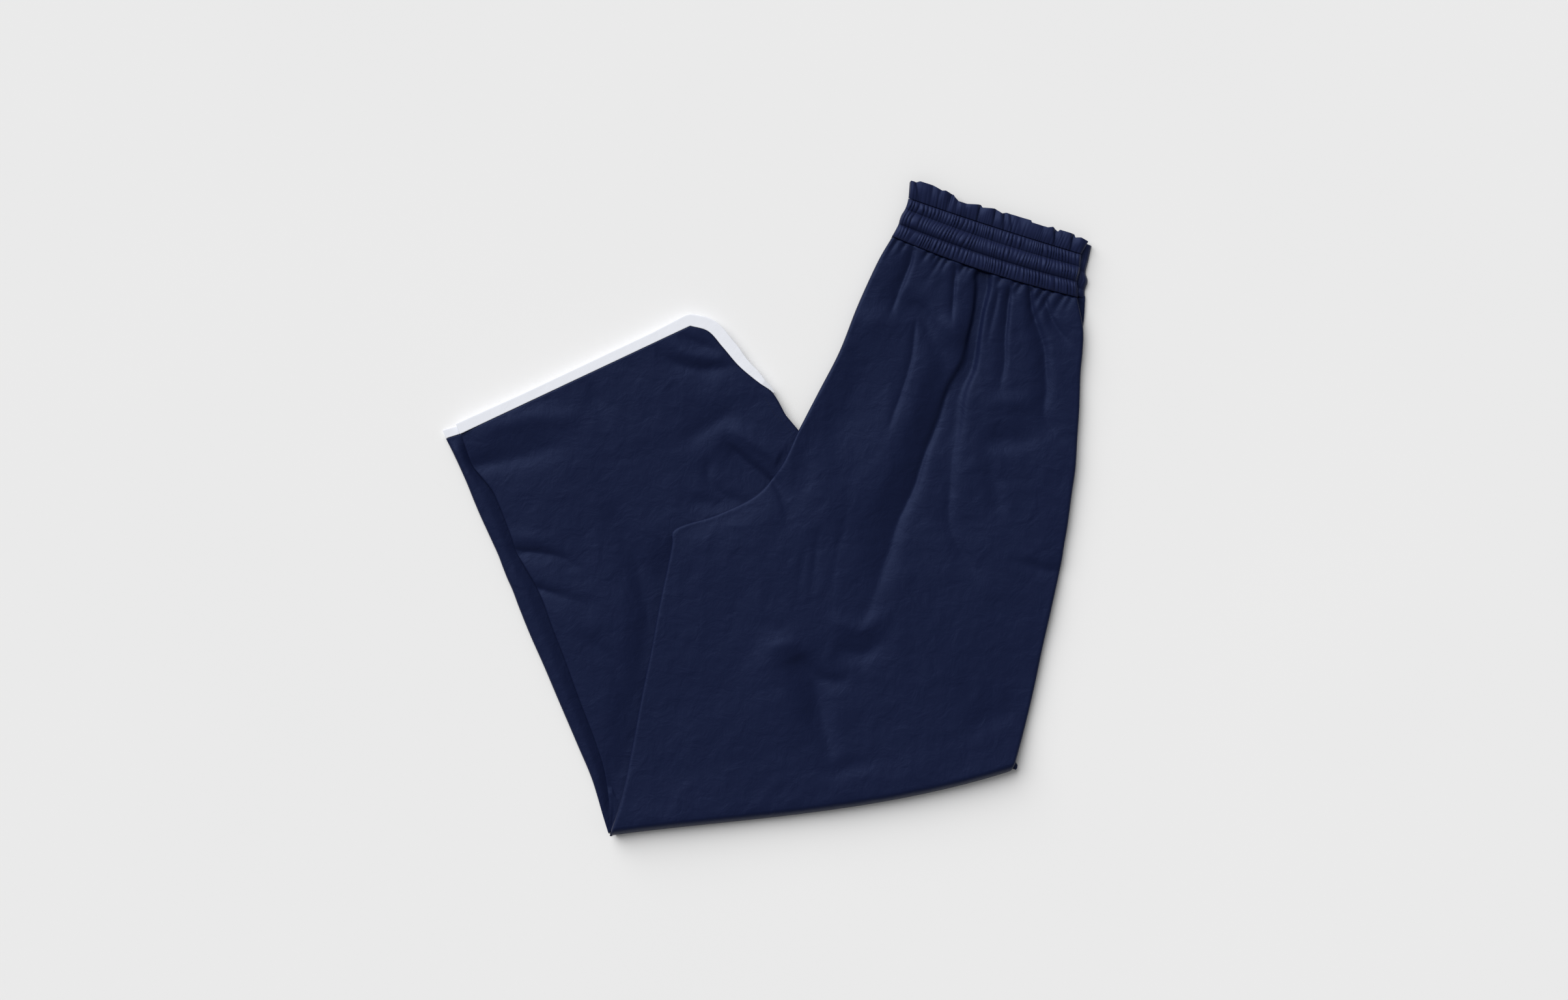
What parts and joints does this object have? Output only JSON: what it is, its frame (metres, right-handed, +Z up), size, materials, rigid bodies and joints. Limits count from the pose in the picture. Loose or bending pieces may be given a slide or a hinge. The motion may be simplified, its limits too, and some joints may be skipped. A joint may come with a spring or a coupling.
{
  "type": "folded track pants",
  "caption": "Wide-leg track pants in navy cloth with a gathered elastic waist and white-bound vented hems, folded leg on leg and again at the knee.",
  "frame": {"origin": "middle of the folded pile's outline, on the surface that it lies on", "axes": "+Z up from the surface, +Y towards the waist, +X to the right of the pile as seen from above with the waist away"},
  "size_m": [0.5998, 0.6028, 0.0166],
  "materials": {
    "navy_cloth": "matte",
    "hidden_cloth": "matte",
    "waistband_cloth": "satin",
    "white_binding": "matte"
  },
  "bodies": {
    "root": {"right_back_panel": "navy_cloth", "upper_layers": "hidden_cloth", "left_back_panel": "navy_cloth", "right_front_panel": "navy_cloth", "lower_layers": "hidden_cloth", "left_hem_binding": "white_binding", "right_hem_binding": "white_binding", "right_waistband": "waistband_cloth", "right_waistband_heading": "waistband_cloth", "left_waistband": "waistband_cloth"}
  },
  "joints": []
}
